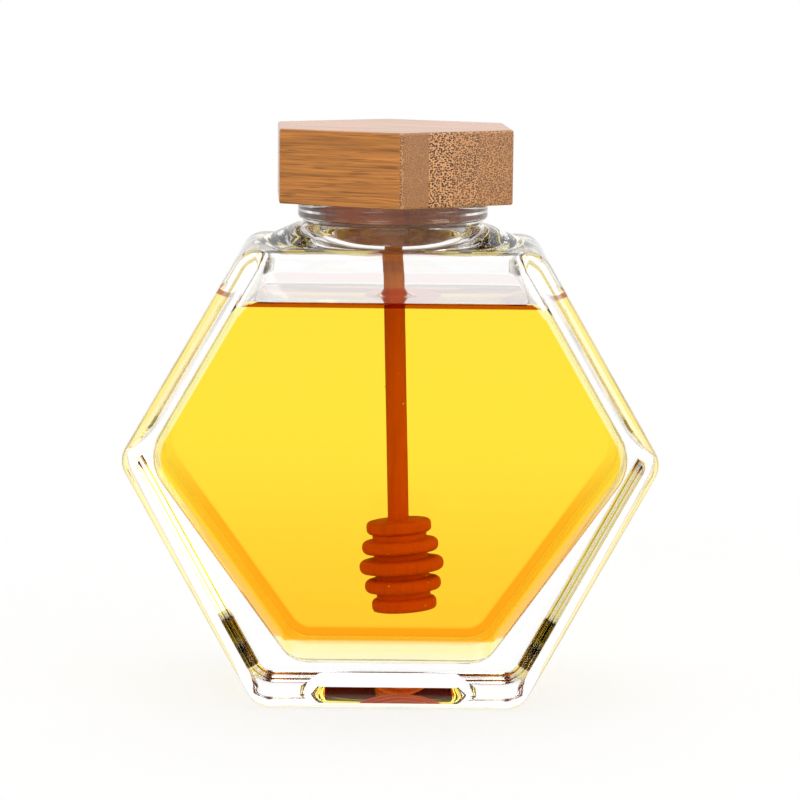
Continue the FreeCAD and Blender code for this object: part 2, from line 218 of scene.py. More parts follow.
class StageSettings(bpy.types.PropertyGroup):
    """Camera, floor and light."""

    camera_distance: length("Camera distance", "Camera to the jar's middle", 709.0)
    camera_height: length("Camera height", "Camera over the floor", 166.9)
    camera_pitch: angle("Camera pitch", "Downward tilt", 8.106)
    camera_turn: angle("Camera turn", "Turn about the upright", -0.166)
    camera_roll: angle("Camera roll", "Roll about the line of sight", 0.594)
    lens: share("Lens", "Focal length in millimetres", 141.86)
    floor_colour: colour("Floor colour", "The floor", 0.9, 0.9, 0.9)
    floor_shadow: share("Floor shadow", "How much of the jar's shadow the floor shows", 0.3)
    room_level: share("Room level", "Strength of the room in front that shows in the glass", 0.65)
    glass_level: share("Glass level", "Backdrop as seen through the glass", 1.07)
    sky_level: share("Sky level", "Strength of the world's light", 0.65)


GROUPS = {
    "jar_glass_settings": GlassSettings,
    "jar_honey_settings": HoneySettings,
    "jar_lid_settings": LidSettings,
    "jar_dipper_settings": DipperSettings,
    "jar_stage_settings": StageSettings,
}


# ---------------------------------------------------------------- node helpers


class Wire:
    """A node's output, so that maths on it reads as a plain expression."""

    def __init__(self, nodes, socket):
        self.nodes = nodes
        self.socket = socket

    def __add__(self, other):
        return self.nodes.maths("ADD", self, other)

    def __sub__(self, other):
        return self.nodes.maths("SUBTRACT", self, other)

    def __rsub__(self, other):
        return self.nodes.maths("SUBTRACT", other, self)

    def __mul__(self, other):
        return self.nodes.maths("MULTIPLY", self, other)

    def __truediv__(self, other):
        return self.nodes.maths("DIVIDE", self, other)

    def __rtruediv__(self, other):
        return self.nodes.maths("DIVIDE", other, self)

    def __pow__(self, other):
        return self.nodes.maths("POWER", self, other)

    def __neg__(self):
        return self.nodes.maths("MULTIPLY", self, -1.0)

    def __lt__(self, other):
        return self.nodes.maths("LESS_THAN", self, other)

    def __gt__(self, other):
        return self.nodes.maths("GREATER_THAN", self, other)

    __radd__ = __add__
    __rmul__ = __mul__


class Nodes:
    """Builds a node tree: every node comes from one method."""

    def __init__(self, tree):
        self.tree = tree
        tree.nodes.clear()

    def add(self, kind, settings=None, inputs=None):
        """A node of the given kind, its settings set first, then its inputs."""
        node = self.tree.nodes.new(kind)
        for name, value in (settings or {}).items():
            if name == "stops":
                self.set_stops(node.color_ramp, value)
            else:
                setattr(node, name, value)
        for key, value in (inputs or {}).items():
            self.feed(node.inputs[key], value)
        return node

    def set_stops(self, ramp, stops):
        """Give a colour ramp its stops: (place, brightness)."""
        while len(ramp.elements) < len(stops):
            ramp.elements.new(1.0)
        for element, (place, level) in zip(ramp.elements, stops):
            element.position = place
            element.color = (level, level, level, 1.0)

    def feed(self, socket, value):
        """Link a wire to a socket, or set the socket's own value."""
        if isinstance(value, Wire):
            self.tree.links.new(value.socket, socket)
        else:
            socket.default_value = value

    def wire(self, kind, settings=None, inputs=None, output=0):
        """One output of a new node."""
        return Wire(self, self.add(kind, settings, inputs).outputs[output])

    def maths(self, operation, *values):
        """A Math node on numbers and wires."""
        inputs = dict(enumerate(values))
        return self.wire("ShaderNodeMath", {"operation": operation}, inputs)

    def clamp(self, value):
        """A value held between 0 and 1."""
        return self.wire("ShaderNodeClamp", None, {"Value": value})

    def fade(self, value, low, high):
        """0 at low and 1 at high, whichever is larger, and a smooth step between."""
        settings = {"interpolation_type": "SMOOTHSTEP"}
        inputs = {"Value": value, "From Min": low, "From Max": high}
        return self.wire("ShaderNodeMapRange", settings, inputs)

    def blend(self, factor, first, second, blend_type="MIX"):
        """A mix of two colours."""
        settings = {"data_type": "RGBA", "blend_type": blend_type}
        pair = [value if isinstance(value, Wire) else (*value, 1.0) for value in (first, second)]
        return self.wire("ShaderNodeMix", settings, {0: factor, 6: pair[0], 7: pair[1]}, output=2)

    def split(self, vector):
        """The three parts of a vector."""
        node = self.add("ShaderNodeSeparateXYZ", None, {0: vector})
        return [Wire(self, output) for output in node.outputs]

    def join(self, x, y, z):
        """A vector from its three parts."""
        return self.wire("ShaderNodeCombineXYZ", None, {0: x, 1: y, 2: z})

    def grey(self, level):
        """A grey of the given brightness."""
        return self.join(level, level, level)

    def noise(self, vector, scale, detail):
        """Smooth noise, about 0.5 in the middle, with scale waves for each unit."""
        inputs = {"Vector": vector, "Scale": scale, "Detail": detail}
        return self.wire("ShaderNodeTexNoise", None, inputs)

    def grain(self, parts, scales, detail):
        """Noise drawn out in one direction: its own number of waves along each axis."""
        stretched = self.join(*[part * scale for part, scale in zip(parts, scales)])
        return self.noise(stretched, 1.0, detail)


class Finish(Nodes):
    """A material under construction."""

    def __init__(self, name):
        self.material = bpy.data.materials.new(name)
        self.material.use_nodes = True
        super().__init__(self.material.node_tree)
        self.out = self.add("ShaderNodeOutputMaterial")

    def place(self, turn=0.0):
        """Where a point lies on its object, turned about Z."""
        where = self.wire("ShaderNodeTexCoord", output=3)
        if not turn:
            return where
        settings = {"vector_type": "POINT"}
        return self.wire("ShaderNodeMapping", settings, {"Vector": where, "Rotation": (0, 0, turn)})

    def facing(self):
        """The surface's outward direction on its object."""
        return self.wire("ShaderNodeTexCoord", output=1)

    def bump(self, height, distance):
        """A relief of the given depth."""
        inputs = {"Height": height, "Distance": distance, "Strength": 1.0}
        return self.wire("ShaderNodeBump", None, inputs)

    def surface(self, inputs, lamps_pass=False):
        """End in a Principled surface, which lamps may shine straight through."""
        shader = self.wire("ShaderNodeBsdfPrincipled", None, inputs)
        if lamps_pass:
            is_shadow = self.wire("ShaderNodeLightPath", output=1)
            clear = self.wire("ShaderNodeBsdfTransparent")
            shader = self.wire("ShaderNodeMixShader", None, {0: is_shadow, 1: shader, 2: clear})
        self.feed(self.out.inputs["Surface"], shader)
        return self.material

    def inside(self, depth_colour, density):
        """Colour the light by how far it goes through the piece."""
        inputs = {"Color": (*depth_colour, 1.0), "Density": density}
        self.feed(self.out.inputs["Volume"], self.wire("ShaderNodeVolumeAbsorption", None, inputs))


class Recipe(Nodes):
    """A Geometry Nodes tree under construction, with named inputs."""

    KINDS = {
        float: "NodeSocketFloat", int: "NodeSocketInt", bpy.types.Material: "NodeSocketMaterial",
    }

    def __init__(self, name, values):
        super().__init__(bpy.data.node_groups.new(name, "GeometryNodeTree"))
        sockets = self.tree.interface
        sockets.new_socket("Geometry", in_out="INPUT", socket_type="NodeSocketGeometry")
        sockets.new_socket("Geometry", in_out="OUTPUT", socket_type="NodeSocketGeometry")
        self.values = {}
        for label, value in values.items():
            socket = sockets.new_socket(label, in_out="INPUT", socket_type=self.KINDS[type(value)])
            self.values[socket.identifier] = value
        self.group = self.add("NodeGroupInput")
        self.end = self.add("NodeGroupOutput")

    def given(self, label):
        """One of the tree's named inputs."""
        return Wire(self, self.group.outputs[label])

    def finish(self, geometry, material):
        """End in Realize Instances and Set Material."""
        real = self.wire("GeometryNodeRealizeInstances", None, {0: geometry})
        inputs = {"Geometry": real, "Material": material}
        painted = self.wire("GeometryNodeSetMaterial", None, inputs)
        self.feed(self.end.inputs[0], painted)

    def run_on(self, piece):
        """Evaluate the tree on a piece and keep the result as its plain mesh."""
        modifier = piece.modifiers.new(self.tree.name, "NODES")
        modifier.node_group = self.tree
        for identifier, value in self.values.items():
            modifier[identifier] = value
        settle(piece)


# ---------------------------------------------------------------- mesh helpers


def arc(centre, radius, start, end, steps):
    """Points (across, up) on an arc, its ends given in degrees."""
    points = []
    for step in range(steps + 1):
        turn = math.radians(start + (end - start) * step / steps)
        points.append((centre[0] + radius * math.cos(turn), centre[1] + radius * math.sin(turn)))
    return points


def outline(corners, radii, inset, arc_steps, side_steps):
    """A convex outline drawn in by inset, anticlockwise, its corners rounded.

    side_steps holds, for each corner, the spans of the straight side that follows it."""
    arcs = []
    for index, corner in enumerate(corners):
        here = Vector(corner)
        back = (Vector(corners[index - 1]) - here).normalized()
        ahead = (Vector(corners[(index + 1) % len(corners)]) - here).normalized()
        half = back.angle(ahead) / 2
        inwards = (back + ahead).normalized()
        radius = radii[index] - inset
        centre = here + inwards * (radii[index] / math.sin(half))
        start = math.degrees(math.atan2(-back.x, back.y))
        arcs.append(arc(centre, radius, start - 180, start - 2 * math.degrees(half), arc_steps))
    points = []
    for index, rounding in enumerate(arcs):
        points += rounding
        first, last = Vector(rounding[-1]), Vector(arcs[(index + 1) % len(arcs)][0])
        spans = side_steps[index]
        points += [tuple(first.lerp(last, step / spans)) for step in range(1, spans)]
    return points


def rounded_rows(low, high, rim, steps, between=()):
    """(place, inset) of each ring of a prism whose two ends are rounded."""
    lower = []
    for step in range(steps + 1):
        turn = math.pi / 2 * step / steps
        lower.append((low + rim * (1 - math.cos(turn)), rim * (1 - math.sin(turn))))
    upper = [(low + high - place, inset) for place, inset in reversed(lower)]
    return lower + [(place, 0.0) for place in between] + upper


def skin(loops, endless=False):
    """A closed mesh over rings of equal count, flat at both ends or endless."""
    form = bmesh.new()
    rows = [[form.verts.new(point) for point in loop] for loop in loops]
    next_rows = rows[1:] + rows[:1] if endless else rows[1:]
    for lower, upper in zip(rows, next_rows):
        for index, here in enumerate(lower):
            follower = (index + 1) % len(lower)
            form.faces.new((here, lower[follower], upper[follower], upper[index]))
    if not endless:
        form.faces.new(rows[0])
        form.faces.new(rows[-1])
    bmesh.ops.recalc_face_normals(form, faces=form.faces)
    return form


def ring_loops(profile, steps, centre=(0.0, 0.0)):
    """Circles about Z through each (radius, height) of a profile."""
    turns = [2 * math.pi * step / steps for step in range(steps)]
    return [
        [(centre[0] + r * math.cos(t), centre[1] + r * math.sin(t), height) for t in turns]
        for r, height in profile
    ]


def piece_from(form, name):
    """An object at the origin from a mesh under construction."""
    mesh = bpy.data.meshes.new(name)
    form.to_mesh(mesh)
    form.free()
    piece = bpy.data.objects.new(name, mesh)
    bpy.context.scene.collection.objects.link(piece)
    return piece


def settle(piece):
    """Keep the result of a piece's modifiers as its plain mesh."""
    evaluated = piece.evaluated_get(bpy.context.evaluated_depsgraph_get())
    mesh = bpy.data.meshes.new_from_object(evaluated)
    piece.modifiers.clear()
    mesh.name = piece.name
    piece.data = mesh


def combine(piece, operation, other):
    """Join another form to a piece, or cut it out, and use the other one up."""
    step = piece.modifiers.new("combine", "BOOLEAN")
    step.operation = operation
    step.solver = "EXACT"
    step.object = other
    settle(piece)
    bpy.data.objects.remove(other)


def smooth(piece, crease_degrees):
    """Shade smooth, with flat faces kept flat and creases kept sharp."""
    mesh = piece.data
    mesh.shade_smooth()
    mesh.set_sharp_from_angle(angle=math.radians(crease_degrees))
    weigh = piece.modifiers.new("weigh", "WEIGHTED_NORMAL")
    weigh.keep_sharp = True
    weigh.weight = 100
    settle(piece)


def adopt(piece, node, slot, *materials):
    """Finish a piece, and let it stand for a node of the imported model."""
    places = [face.material_index for face in piece.data.polygons]
    piece.data.materials.clear()
    for material in materials:
        piece.data.materials.append(material)
    for face, place in zip(piece.data.polygons, places):
        face.material_index = min(place, len(materials) - 1)
    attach(piece, "root")
    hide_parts(node)


def both_sides(right_side):
    """An outline's corners from its right half, bottom to top."""
    return right_side + [(-across, up) for across, up in reversed(right_side)]


# ---------------------------------------------------------------- glass


def eased(value, ease):
    """value held between 0 and 1, both turns rounded over ease."""
    def rise(v):
        if v <= -ease:
            return 0.0
        return v if v >= ease else (v + ease) ** 2 / (4 * ease)
    return rise(value) - rise(value - 1.0)


# The share of the hip's slope over which its foot and its top are rounded.
HIP_EASE = 0.2


def hip_lift(sizes, x, y):
    """How high the hip under the neck stands over the flat top."""
    turn = math.atan2(y, x)
    along = sizes.hip_half_width * math.cos(turn)
    across = sizes.hip_half_length * math.sin(turn)
    foot = sizes.hip_half_length * sizes.hip_half_width / math.hypot(along, across)
    up_the_slope = (foot - math.hypot(x, y)) / (foot - sizes.hip_top_radius)
    return sizes.hip_height * eased(up_the_slope, HIP_EASE)


def glass_outside(sizes):
    """The jar's outer form: the hexagonal body, its hip and the neck with its bead."""
    half_depth = GLASS_HIGH.y
    corners = both_sides([
        (sizes.base_half, 0.0),
        (sizes.half_width, sizes.corner_height),
        (sizes.top_half, sizes.body_height),
    ])
    radii = [sizes.corner_round] * len(corners)
    edge = half_depth - sizes.rim_round
    # The hip rises from the flat top, which is divided finely for it in both directions.
    fine, plain = 110, 20
    between = [edge * (2 * row / fine - 1) for row in range(1, fine)]
    rows = rounded_rows(-half_depth, half_depth, sizes.rim_round, 8, between)
    side_steps = (plain, plain, fine, plain, plain, plain)
    loops = []
    for y, inset in rows:
        loop = []
        for x, z in outline(corners, radii, inset, 10, side_steps):
            on_top = z > sizes.body_height - sizes.rim_round
            loop.append((x, y, z + hip_lift(sizes, x, y) * on_top))
        loops.append(loop)
    body = piece_from(skin(loops), "glass_body")
    rim = GLASS_HIGH.z - SKIN_GAP
    foot = rim - sizes.bead_height
    bead = sizes.bead_radius
    top_round, foot_round = sizes.bead_top_round, sizes.bead_foot_round
    profile = [(sizes.neck_radius, sizes.body_height - sizes.top_wall / 2)]
    profile += [(sizes.neck_radius, foot)]
    profile += arc((bead - foot_round, foot + foot_round), foot_round, -90, 0, 6)
    profile += arc((bead - top_round, rim - top_round), top_round, 0, 90, 10)
    neck = piece_from(skin(ring_loops(profile, NECK_STEPS)), "glass_neck")
    combine(body, "UNION", neck)
    return body


def inner_corners(sizes):
    """The sharp corners of the space inside the body."""
    rise = sizes.body_height - sizes.corner_height
    run = sizes.half_width - sizes.top_half
    half = sizes.half_width - sizes.flank_wall / math.sin(math.atan2(rise, run))
    ceiling = sizes.body_height - sizes.top_wall
    top_half = half - (ceiling - sizes.corner_height) * run / rise
    return both_sides([
        (sizes.inner_floor_half, sizes.floor_wall),
        (half, sizes.corner_height),
        (top_half, ceiling),
    ])


# How far apart the ceiling's uneven places lie, across and in depth.
STRAY_SPACING = (11 * MM, 9 * MM)
# Which slice of the noise is used for them.
STRAY_SLICE = 0.3


def uneven(sizes, x, y, z):
    """How far the glass near the ceiling strays up or down."""
    ceiling = sizes.body_height - sizes.top_wall
    share_of_rim = max(0.0, (z - ceiling) / (2 * sizes.inner_rim_round) + 1.0)
    across, deep = STRAY_SPACING
    stray = noise.noise(Vector((x / across, y / deep, STRAY_SLICE)))
    return sizes.ceiling_stray * share_of_rim * stray


def inner_space(sizes, grow, name):
    """The space inside the body, every wall moved out by grow."""
    half_depth = GLASS_HIGH.y - sizes.face_wall + grow
    right_radii = [sizes.inner_floor_round, sizes.inner_corner_round, sizes.inner_top_round]
    radii = right_radii + right_radii[::-1]
    rim = sizes.inner_rim_round + grow
    edge = half_depth - rim
    row_count = 12
    between = [edge * (2 * row / row_count - 1) for row in range(1, row_count)]
    # The uneven ceiling is divided finely.
    fine, plain = 60, 8
    side_steps = (plain, plain, fine, plain, plain, plain)
    loops = []
    for y, inset in rounded_rows(-half_depth, half_depth, rim, 10, between):
        ring = outline(inner_corners(sizes), radii, inset - grow, 12, side_steps)
        loops.append([(x, y, z + uneven(sizes, x, y, z)) for x, z in ring])
    return piece_from(skin(loops), name)


def bore_form(sizes):
    """The bore of the neck, flared into the body and bevelled at the mouth."""
    rim = GLASS_HIGH.z - SKIN_GAP
    ceiling = sizes.body_height - sizes.top_wall
    flare, bevel, bore = sizes.bore_flare, sizes.mouth_bevel, sizes.bore_radius
    profile = [(bore + flare, ceiling - CUT_PAST)]
    profile += arc((bore + flare, ceiling + flare), flare, 270, 180, 8)
    profile += [(bore, rim - bevel), (bore + bevel, rim), (bore + bevel, rim + CUT_PAST)]
    return piece_from(skin(ring_loops(profile, NECK_STEPS)), "bore")


def recess_form(sizes):
    """The shallow recess under the base, with leaning walls."""
    half_length, half_width = sizes.punt_length / 2, sizes.punt_width / 2
    corners = [
        (half_length, -half_width), (half_length, half_width),
        (-half_length, half_width), (-half_length, -half_width),
    ]
    lean = math.tan(sizes.punt_draft)
    loops = []
    for height in (-CUT_PAST, sizes.punt_depth):
        ring = outline(corners, [sizes.punt_round] * 4, height * lean, 10, (4,) * 4)
        loops.append([(x, y, height) for x, y in ring])
    return piece_from(skin(loops), "recess")


# Waves in each metre of the glass, and their depth.
WAVE_SCALE = 55.0
WAVE_DEPTH = 0.05 * MM
# How far the film of honey reaches over the level at least, and how much more in places.
FILM_RISE = 1.2 * MM
FILM_SWAY = 6.0 * MM
# Waves in each metre of the film's upper edge, and of the patches in the painted shade lines on the
# rims.
FILM_SCALE = 28.0
PATCH_SCALE = 70.0


def glass_finish(sizes, name, wet):
    """Clear pressed glass, faintly wavy, with thin lines of painted shade on its rims and a film at
    the back.

    Glass that honey touches is wet: it has no mirror image of its own."""
    finish = Finish(name)
    where = finish.place()
    waves = finish.noise(where, WAVE_SCALE, 1.0)
    normal = finish.bump(waves, WAVE_DEPTH)
    # A thin film of honey is left on the back wall over the level, with a wavy upper edge.
    x, y, z = finish.split(where)
    inner = GLASS_HIGH.y - sizes.face_wall
    near, far = 0.5 * MM, 1.5 * MM
    on_back = finish.fade(y, inner - far, inner - near) * finish.fade(y, inner + far, inner + near)
    sway = finish.noise(finish.join(x * FILM_SCALE, 0.0, 0.35), 1.0, 1.0)
    edge = HONEY_HIGH.z + FILM_RISE + sway * FILM_SWAY
    filmed = on_back * finish.fade(z, edge + 0.4 * MM, edge - 0.4 * MM)
    filmed = filmed * finish.fade(z, HONEY_HIGH.z + 0.1 * MM, HONEY_HIGH.z + 0.8 * MM)
    tone = finish.blend(filmed, WHITE, tuple(sizes.film_tint))
    # Painted shade: the rounded rims of thick glass show as thin grey lines, painted by the
    # surface's direction where real glass bends dark surroundings in.
    flatness = finish.maths("ABSOLUTE", finish.split(finish.facing())[1])
    rim_shade_mask = finish.fade(flatness, 0.1, 0.22) * finish.fade(flatness, 0.55, 0.4)
    if wet:
        # Honey hides the line at the back.
        rim_shade_mask = rim_shade_mask * (y < 0.0)
    patchy = 0.55 + 0.45 * finish.fade(finish.noise(where, PATCH_SCALE, 2.0), 0.4, 0.6)
    tone = finish.blend(rim_shade_mask * patchy, tone, tuple(sizes.painted_rim_shade_colour))
    mirror = 0.0 if wet else 1.0
    return finish.surface({
        "Base Color": tone, "Roughness": 0.0, "IOR": sizes.index,
        "Transmission Weight": 1.0, "Specular Tint": (mirror, mirror, mirror, 1.0),
        "Normal": normal,
    }, lamps_pass=True)


def wet_faces(sizes, glass):
    """Give the walls that the honey touches a finish without a mirror image of their own."""
    level = HONEY_HIGH.z
    form = bmesh.new()
    form.from_mesh(glass.data)
    everything = form.verts[:] + form.edges[:] + form.faces[:]
    bmesh.ops.bisect_plane(form, geom=everything, plane_co=(0, 0, level), plane_no=(0, 0, 1))
    corners = [Vector(corner) for corner in inner_corners(sizes)]
    depth = GLASS_HIGH.y - sizes.face_wall + OVERLAP
    for face in form.faces:
        middle = face.calc_center_median()
        place = Vector((middle.x, middle.z))
        inside = middle.z < level and abs(middle.y) < depth
        for index, corner in enumerate(corners):
            side = corners[(index + 1) % len(corners)] - corner
            inside = inside and side.normalized().cross(place - corner) > -OVERLAP
        face.material_index = int(inside)
    form.to_mesh(glass.data)
    form.free()


class JAR_OT_glass(bpy.types.Operator):
    """Make the glass: the outer form, hollowed by the inner space, the bore and the recess"""

    bl_idname = "honeyjar.glass"
    bl_label = "Glass"

    def execute(self, context):
        sizes = context.scene.jar_glass_settings
        glass = glass_outside(sizes)
        combine(glass, "DIFFERENCE", inner_space(sizes, 0.0, "cavity"))
        combine(glass, "DIFFERENCE", bore_form(sizes))
        combine(glass, "DIFFERENCE", recess_form(sizes))
        glass.name = "glass_jar"
        wet_faces(sizes, glass)
        smooth(glass, crease_degrees=30)
        dry = glass_finish(sizes, "Clear pressed glass", wet=False)
        wet = glass_finish(sizes, "Clear glass touched by honey", wet=True)
        adopt(glass, "jar_glass", "jar_glass", dry, wet)
        return {"FINISHED"}


# ---------------------------------------------------------------- honey


# The share of its full rise that the honey climbs halfway back, and how much more it climbs at
# the front wall and less at the back one.
MIDDLE_CLIMB = 0.55
FRONT_CLIMB = 0.45
# Height of the band of painted light, left paler, over the honey's floor.
PALE_BAND = 5.6 * MM


def level_form(sizes, honey):
    """Everything under the honey's surface, which climbs a little at the walls."""
    level = HONEY_HIGH.z
    corners = inner_corners(sizes)
    side, top = Vector(corners[1]), Vector(corners[2])
    half_length = side.lerp(top, (level - side.y) / (top.y - side.y)).x
    half_width = GLASS_HIGH.y - sizes.face_wall
    wide = [(sign_x * 2 * half_length, sign_y * 2 * half_width)
            for sign_x, sign_y in ((1, -1), (1, 1), (-1, 1), (-1, -1))]
    near = [(x / 2, y / 2) for x, y in wide]
    spans = (4,) * 4
    big_round = [sizes.inner_rim_round] * 4
    loops = []
    for height in (-CUT_PAST, sizes.corner_height):
        ring = outline(wide, big_round, 0.0, arc_steps=8, side_steps=spans)
        loops.append([(x, y, height) for x, y in ring])
    step_count = 14
    reach = 6 * honey.meniscus_reach
    # The first ring lies outside the walls, the others ever further apart inside them.
    past_walls = 0.5 * MM
    for step in range(-1, step_count + 1):
        inset = reach * (step / step_count) ** 2 if step >= 0 else -past_walls
        climb = honey.meniscus_rise * math.exp(-max(inset, 0.0) / honey.meniscus_reach)
        radii = [sizes.inner_rim_round + reach] * 4
        loop = []
        for x, y in outline(near, radii, inset, arc_steps=8, side_steps=spans):
            loop.append((x, y, level + climb * (MIDDLE_CLIMB - FRONT_CLIMB * y / half_width)))
        loops.append(loop)
    return piece_from(skin(loops), "under_level")


def stick_collar(honey, dipper):
    """The honey that climbs the dipper's stick."""
    level = HONEY_HIGH.z
    centre = ((stick_top(dipper) - level) * math.tan(dipper.stick_lean), 0.0)
    foot = level - SKIN_GAP
    reach = 4 * honey.meniscus_reach
    # The innermost ring lies just inside the stick.
    into_stick = 0.1 * MM
    profile = [(dipper.stick_radius + reach, level - CUT_PAST)]
    steps = 12
    for step in range(steps + 1):
        away = reach * (1 - step / steps) ** 1.5 - into_stick
        climb = honey.collar_rise * math.exp(-max(away, 0.0) / honey.meniscus_reach)
        profile.append((dipper.stick_radius + away, foot + climb))
    return piece_from(skin(ring_loops(profile, 64, centre)), "collar")


def honey_finish(honey):
    """Clear golden honey: its colour comes partly from its depth, partly from tints, several of
    them painted light and shade.

    A tint fades in between two heights over the jar's foot, or between two directions."""
    finish = Finish("Golden honey")
    x, y, height = finish.split(finish.place())
    level = HONEY_HIGH.z
    outwards, upwards = finish.split(finish.facing())[1:]
    flatness = finish.maths("ABSOLUTE", outwards)
    # Painted light: light that enters near the floor soon leaves through it again, so a band over
    # the floor is left untinted and stays paler.
    pale_top = HONEY_LOW.z + PALE_BAND
    over_floor = finish.fade(height, pale_top - 0.6 * MM, pale_top)
    under = finish.fade(height, level, level - 0.2 * MM)
    faces = over_floor * under * (flatness > 0.9) * (y < 0.0)
    tint = finish.blend(faces, WHITE, tuple(honey.face_tint))
    # Painted shade: the front grows darker and redder from three quarters of the level down to the
    # pale band.
    low = finish.fade(height, level * 0.75, pale_top) * faces
    tint = finish.blend(low, tint, finish.blend(1.0, tint, tuple(honey.painted_low_shade), "MULTIPLY"))
    below = finish.fade(height, level - 0.2 * MM, level - 0.6 * MM)
    not_floor = 1.0 - finish.fade(finish.maths("ABSOLUTE", upwards), 0.75, 0.95)
    sides = 1.0 - finish.fade(flatness, 0.1, 0.4)
    tint = finish.blend(sides * below * not_floor, tint, tuple(honey.side_tint))
    # Painted shade: deep orange along the honey's rounded edges, fading out upwards and at the
    # front's foot.
    rim = finish.fade(flatness, 0.05, 0.4) * (1.0 - finish.fade(flatness, 0.9, 0.995))
    near_floor = finish.fade(height, pale_top + 1.0 * MM, pale_top)
    front_foot = finish.fade(y, 1.0 * MM, -1.0 * MM) * near_floor
    rim = rim * (1.0 - front_foot) * finish.fade(height, level * 0.7, level * 0.4)
    tint = finish.blend(rim * below, tint, tuple(honey.painted_honey_rim_shade))
    # Painted shade: where the surface turns up at the walls, light runs a long way through the
    # honey, so a dark line is painted there.
    climbing = finish.fade(height, level - 0.6 * MM, level - 0.35 * MM)
    wall = 1.0 - finish.fade(upwards, 0.62, 0.85)
    near = finish.fade(y, 16.0 * MM, 0.0)
    tint = finish.blend(climbing * wall * near, tint, tuple(honey.painted_meniscus_shade))
    stick = 1.0 - finish.fade(finish.maths("SQRT", x * x + y * y), 6.0 * MM, 8.0 * MM)
    collar = finish.fade(height, level + 0.05 * MM, level + 0.4 * MM) * stick
    tint = finish.blend(collar, tint, tuple(honey.collar_tint))
    # The level surface mirrors what stands behind it.
    near_level = finish.fade(height, level - 0.5 * MM, level - 0.1 * MM)
    surface = finish.fade(upwards, 0.9, 0.98) * near_level
    finish.inside(honey.depth_colour, honey.density)
    return finish.surface({
        "Base Color": tint, "Roughness": 0.0, "IOR": honey.index,
        "Transmission Weight": 1.0, "Specular Tint": (0.0, 0.0, 0.0, 1.0),
        "Coat Weight": surface, "Coat Roughness": 0.0,
    }, lamps_pass=True)


class JAR_OT_honey(bpy.types.Operator):
    """Make the honey, up to its level and just into the glass around it"""

    bl_idname = "honeyjar.honey"
    bl_label = "Honey"

    def execute(self, context):
        sizes = context.scene.jar_glass_settings
        honey = context.scene.jar_honey_settings
        dipper = context.scene.jar_dipper_settings
        filling = inner_space(sizes, OVERLAP, "golden_honey")
        combine(filling, "INTERSECT", level_form(sizes, honey))
        combine(filling, "UNION", stick_collar(honey, dipper))
        smooth(filling, crease_degrees=50)
        adopt(filling, "honey", "honey", honey_finish(honey))
        return {"FINISHED"}


# ---------------------------------------------------------------- dipper


def turned_stick(recipe):
    """The stick, hanging from the origin and reaching into the head."""
    whole = recipe.given("Stick length") + recipe.given("Disc height")
    rod = recipe.wire("GeometryNodeMeshCylinder", None, {
        "Vertices": 48, "Side Segments": 150,
        "Radius": recipe.given("Stick radius"), "Depth": whole,
    })
    down = recipe.join(0.0, 0.0, whole * -0.5)
    return recipe.wire("GeometryNodeSetPosition", None, {"Geometry": rod, "Offset": down})


def turned_head(recipe):
    """The head: one turned form whose radius steps out at each disc."""
    pitch, height = recipe.given("Disc pitch"), recipe.given("Disc height")
    last = recipe.given("Discs") - 1.0
    whole = last * pitch + height
    rod = recipe.wire("GeometryNodeMeshCylinder", None, {
        "Vertices": 96, "Side Segments": 173, "Radius": 1.0, "Depth": whole,
    })
    x, y, z = recipe.split(recipe.wire("GeometryNodeInputPosition"))
    below = whole * 0.5 - z
    disc = recipe.maths("MINIMUM", recipe.maths("FLOOR", below / pitch + 0.001), last)
    off_middle = recipe.maths("ABSOLUTE", below - disc * pitch - height * 0.5)
    bulge = recipe.maths("SINE", disc / last * math.pi) ** 1.5
    least, most = recipe.given("Least reach"), recipe.given("Most reach")
    reach = least + (most - least) * bulge
    edge = recipe.maths("MINIMUM", recipe.given("Disc round"), reach * 0.9)
    past = recipe.clamp((off_middle - (height * 0.5 - edge)) / edge)
    drawn_in = edge * (1.0 - recipe.maths("SQRT", 1.0 - past * past))
    on_disc = off_middle < height * 0.5 + 0.01 * MM
    radius = recipe.given("Core radius") + (reach - drawn_in) * on_disc
    moved = recipe.join(x * radius, y * radius, z - whole * 0.5)
    return recipe.wire("GeometryNodeSetPosition", None, {"Geometry": rod, "Position": moved})


def stick_top(dipper):
    """Where the stick's upper end crosses its axis."""
    return DIPPER_HIGH.z - dipper.stick_radius * math.sin(dipper.stick_lean)


def dipper_recipe(dipper, material):
    """The whole dipper: the leaning stick, and the head that leans a little more."""
    recipe = Recipe("Turned dipper", {
        "Stick radius": dipper.stick_radius, "Stick length": dipper.stick_length,
        "Stick lean": dipper.stick_lean, "Head lean": dipper.head_lean,
        "Core radius": dipper.core_radius, "Disc pitch": dipper.disc_pitch,
        "Disc height": dipper.disc_height, "Disc round": dipper.disc_round,
        "Least reach": dipper.least_reach, "Most reach": dipper.most_reach,
        "Discs": dipper.disc_count, "Top": stick_top(dipper), "Wood": material,
    })
    lean = recipe.given("Stick lean")
    stick_turn = recipe.join(0.0, -lean, 0.0)
    top = recipe.join(0.0, 0.0, recipe.given("Top"))
    stick = recipe.wire("GeometryNodeTransform", None, {
        "Geometry": turned_stick(recipe), "Rotation": stick_turn, "Translation": top,
    })
    reach = recipe.given("Stick length")
    across = reach * recipe.maths("SINE", lean)
    up = recipe.given("Top") - reach * recipe.maths("COSINE", lean)
    head = recipe.wire("GeometryNodeTransform", None, {
        "Geometry": turned_head(recipe),
        "Rotation": recipe.join(0.0, -recipe.given("Head lean"), 0.0),
        "Translation": recipe.join(across, 0.0, up),
    })
    union = recipe.add("GeometryNodeMeshBoolean", {"operation": "UNION", "solver": "EXACT"})
    recipe.feed(union.inputs["Mesh 2"], stick)
    recipe.feed(union.inputs["Mesh 2"], head)
    recipe.finish(Wire(recipe, union.outputs[0]), recipe.given("Wood"))
    return recipe


